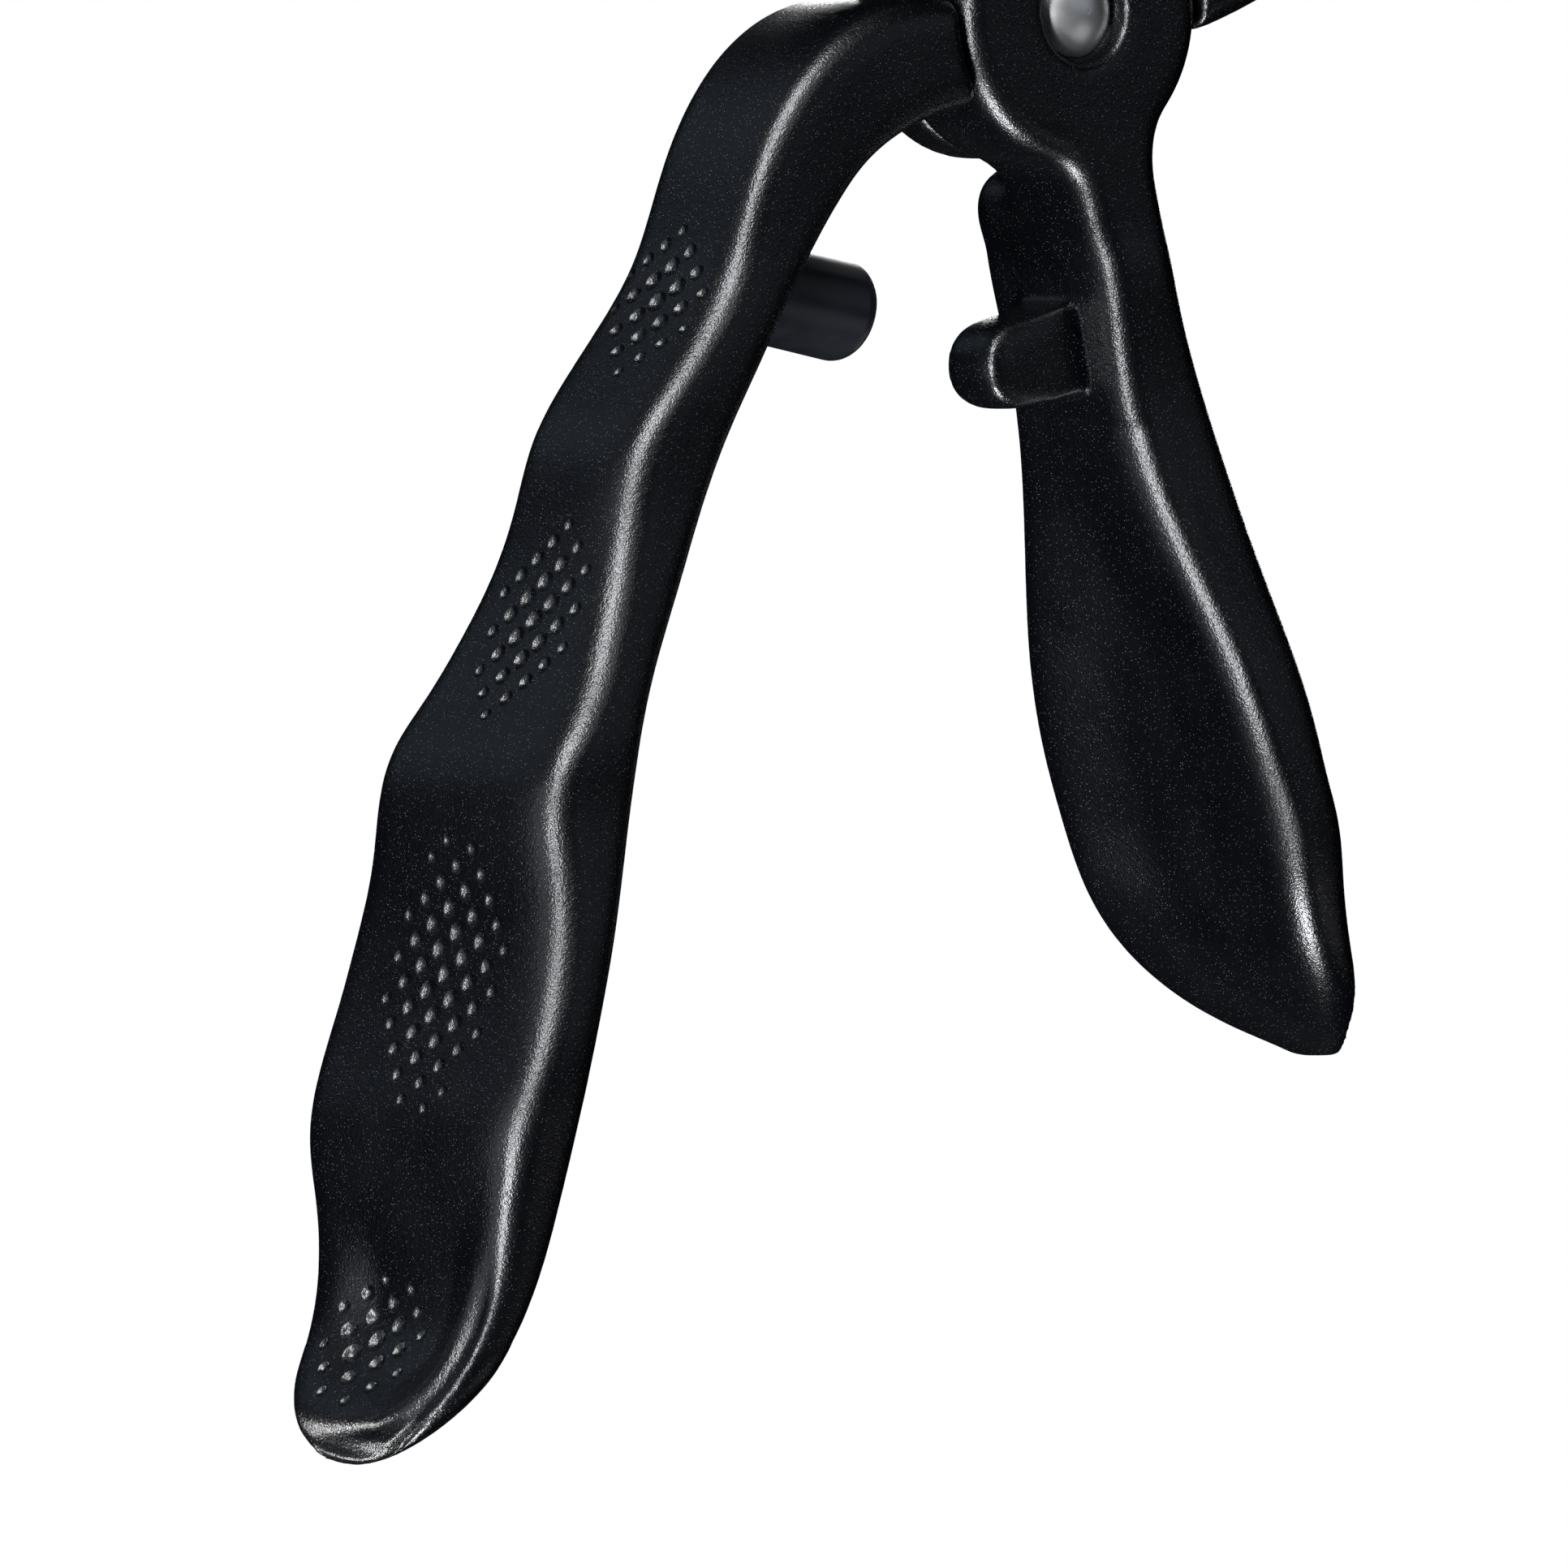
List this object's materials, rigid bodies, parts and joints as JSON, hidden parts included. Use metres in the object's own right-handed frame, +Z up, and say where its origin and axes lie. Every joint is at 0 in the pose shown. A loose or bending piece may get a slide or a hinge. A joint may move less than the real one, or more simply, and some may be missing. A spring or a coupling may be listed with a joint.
{
  "type": "jar lifter",
  "caption": "Plier-type jar lifter: two moulded levers on a spring-loaded rivet hinge, finger-grooved and palm handles, curved soft-lined jaws that grip a jar's neck.",
  "frame": {"origin": "on the pivot axis, at the flat back face of the hinge", "axes": "+Z up from the handles to the jaws, +Y to the back along the pivot axis, +X to the right, towards the palm handle"},
  "size_m": [0.1335, 0.0713, 0.2277],
  "materials": {
    "moulded_nylon": "black glass-filled nylon, satin with a fine orange-peel grain",
    "smooth_nylon": "black nylon, smoother satin",
    "polished_steel": "polished stainless steel",
    "plain_steel": "turned stainless steel",
    "acetal": "natural white acetal",
    "spring_steel": "bright drawn wire",
    "silicone": "matt black silicone"
  },
  "bodies": {
    "palm": {"palm_lever": "moulded_nylon", "pivot_rivet": "polished_steel", "pivot_bush": "plain_steel", "rear_washer": "plain_steel", "thrust_washer": "acetal", "torsion_spring": "spring_steel", "palm_jaw_pad": "silicone"},
    "finger": {"finger_lever": "moulded_nylon", "stop_peg": "smooth_nylon", "finger_jaw_pad": "silicone"}
  },
  "joints": [
    {"name": "hinge", "type": "hinge", "parent": "palm", "child": "finger", "pos_m": [0, -0.00825, 0], "axis": [0, -1, 0], "range_deg": [0, 25]}
  ]
}
